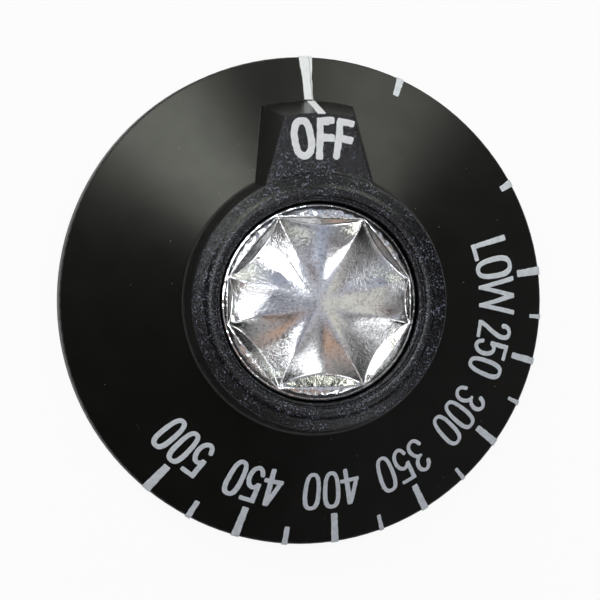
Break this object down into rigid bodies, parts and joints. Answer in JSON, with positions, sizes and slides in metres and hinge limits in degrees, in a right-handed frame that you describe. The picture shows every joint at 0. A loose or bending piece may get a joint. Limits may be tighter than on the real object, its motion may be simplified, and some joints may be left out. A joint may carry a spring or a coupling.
{
  "type": "control knob",
  "caption": "Round dial knob with a conical skirt, a raised hub with a stamped star cap, and a tapered pointer block.",
  "frame": {"origin": "centre of the skirt's back edge, on the shaft axis", "axes": "+Z along the shaft axis towards the user, +Y towards the pointer block at OFF"},
  "size_m": [0.0635, 0.0634, 0.0189],
  "materials": {
    "dial_body": "satin",
    "star_cap": "polished",
    "spring_ring": "satin"
  },
  "bodies": {
    "root": {"dial_body": "dial_body", "star_cap": "star_cap", "spring_ring": "spring_ring"}
  },
  "joints": []
}
